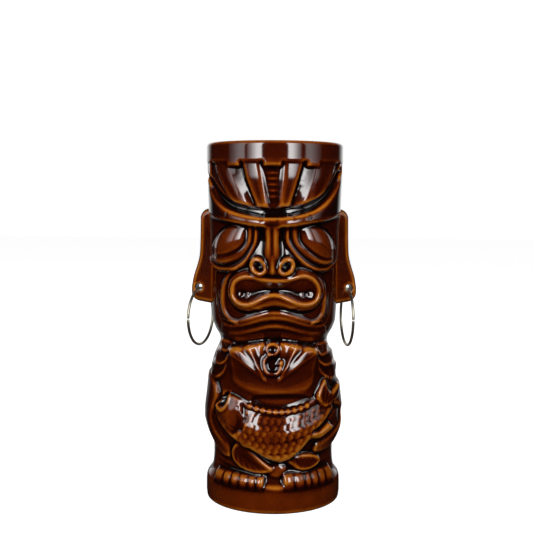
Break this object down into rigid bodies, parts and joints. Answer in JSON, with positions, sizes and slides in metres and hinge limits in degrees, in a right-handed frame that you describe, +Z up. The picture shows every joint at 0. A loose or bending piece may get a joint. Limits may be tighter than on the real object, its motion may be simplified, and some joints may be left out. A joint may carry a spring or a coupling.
{
  "type": "tiki mug",
  "caption": "Glazed ceramic tiki mug: a standing carved figure with a fish across its belly, pierced ears and wire hoop earrings.",
  "frame": {"origin": "centre of the flat foot", "axes": "+Z up along the mug's axis, the figure faces -Y, its left ear (the viewer's right) is on +X"},
  "size_m": [0.0855, 0.07, 0.178],
  "materials": {
    "glaze": "glossy translucent brown glaze, darker in the hollows and amber on the edges",
    "wire": "bright nickel-plated wire"
  },
  "bodies": {
    "mug": {"mug_body": "glaze", "left_ear": "glaze", "right_ear": "glaze"},
    "left_hoop": {"left_earring": "wire"},
    "right_hoop": {"right_earring": "wire"}
  },
  "joints": [
    {"name": "left_hoop_swing", "type": "hinge", "parent": "mug", "child": "left_hoop", "pos_m": [-0.0371, 0.00217, 0.106], "axis": [0.2588, 0.9659, 0], "range_deg": [-11, 170]},
    {"name": "right_hoop_swing", "type": "hinge", "parent": "mug", "child": "right_hoop", "pos_m": [0.0371, 0.00217, 0.106], "axis": [0.2588, -0.9659, 0], "range_deg": [-16, 170]}
  ]
}
